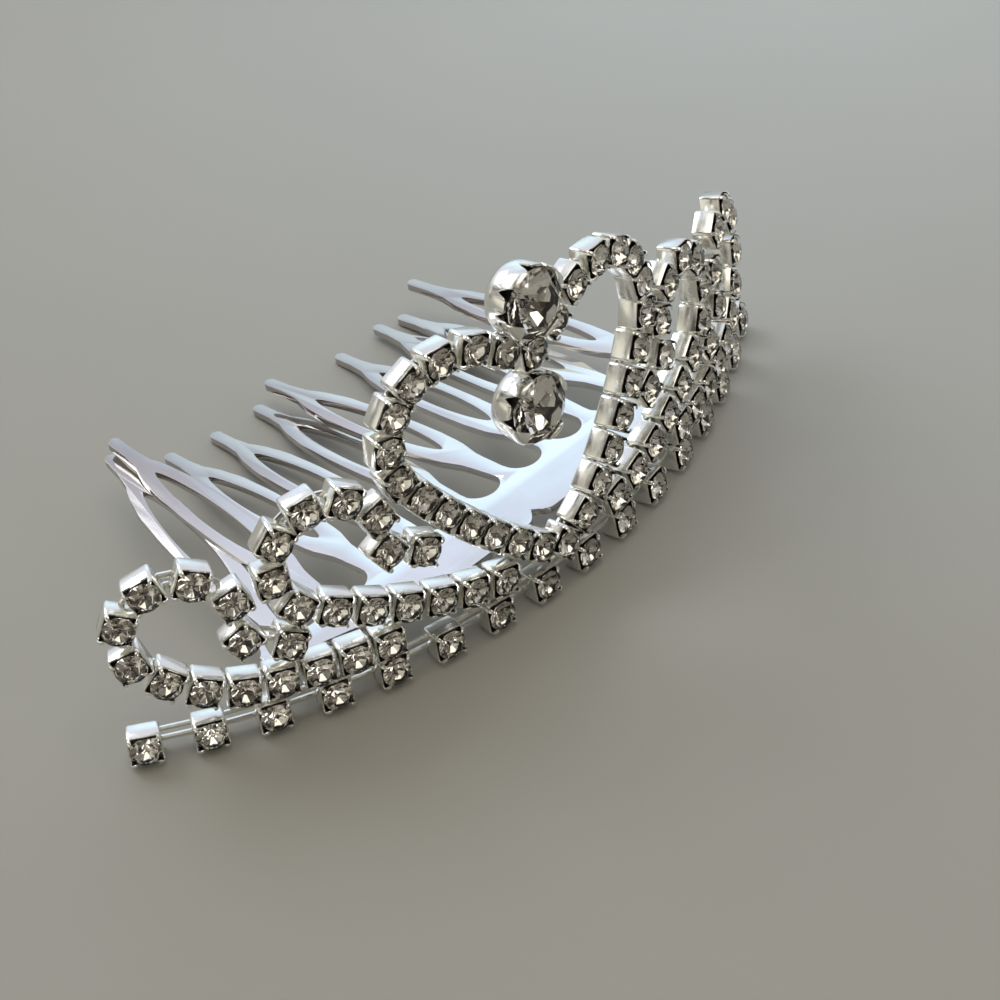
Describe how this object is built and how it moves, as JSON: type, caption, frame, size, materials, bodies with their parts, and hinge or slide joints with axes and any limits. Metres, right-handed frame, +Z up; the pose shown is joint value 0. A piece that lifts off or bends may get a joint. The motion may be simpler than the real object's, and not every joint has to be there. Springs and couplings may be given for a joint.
{
  "type": "clip-in tiara",
  "caption": "Small tiara of soldered cup chains on a hair comb: a heart with two large round stones in the middle, scrolls on both sides and a spaced row of stones along the base",
  "frame": {"origin": "On the table, under the middle of the whole tiara", "axes": "+X to the wearer's left, which is the right of someone who faces the stones. The stones face -Y and the teeth point to +Y. +Z is up from the table"},
  "size_m": [0.0812, 0.041, 0.0339],
  "materials": {
    "comb_metal": "smooth bright silver plate on stamped sheet",
    "chain_metal": "bright silver plate on pressed cups",
    "small_glass": "clear cut glass with a foil back",
    "large_glass": "clear cut glass with a foil back"
  },
  "bodies": {
    "root": {"comb": "comb_metal", "base_chain": "chain_metal", "heart_chain": "chain_metal", "left_inner_scroll": "chain_metal", "right_inner_scroll": "chain_metal", "left_outer_scroll": "chain_metal", "right_outer_scroll": "chain_metal", "base_stones": "small_glass", "heart_stones": "small_glass", "left_inner_stones": "small_glass", "right_inner_stones": "small_glass", "left_outer_stones": "small_glass", "right_outer_stones": "small_glass", "upper_large_stone": "large_glass", "lower_large_stone": "large_glass"}
  },
  "joints": []
}
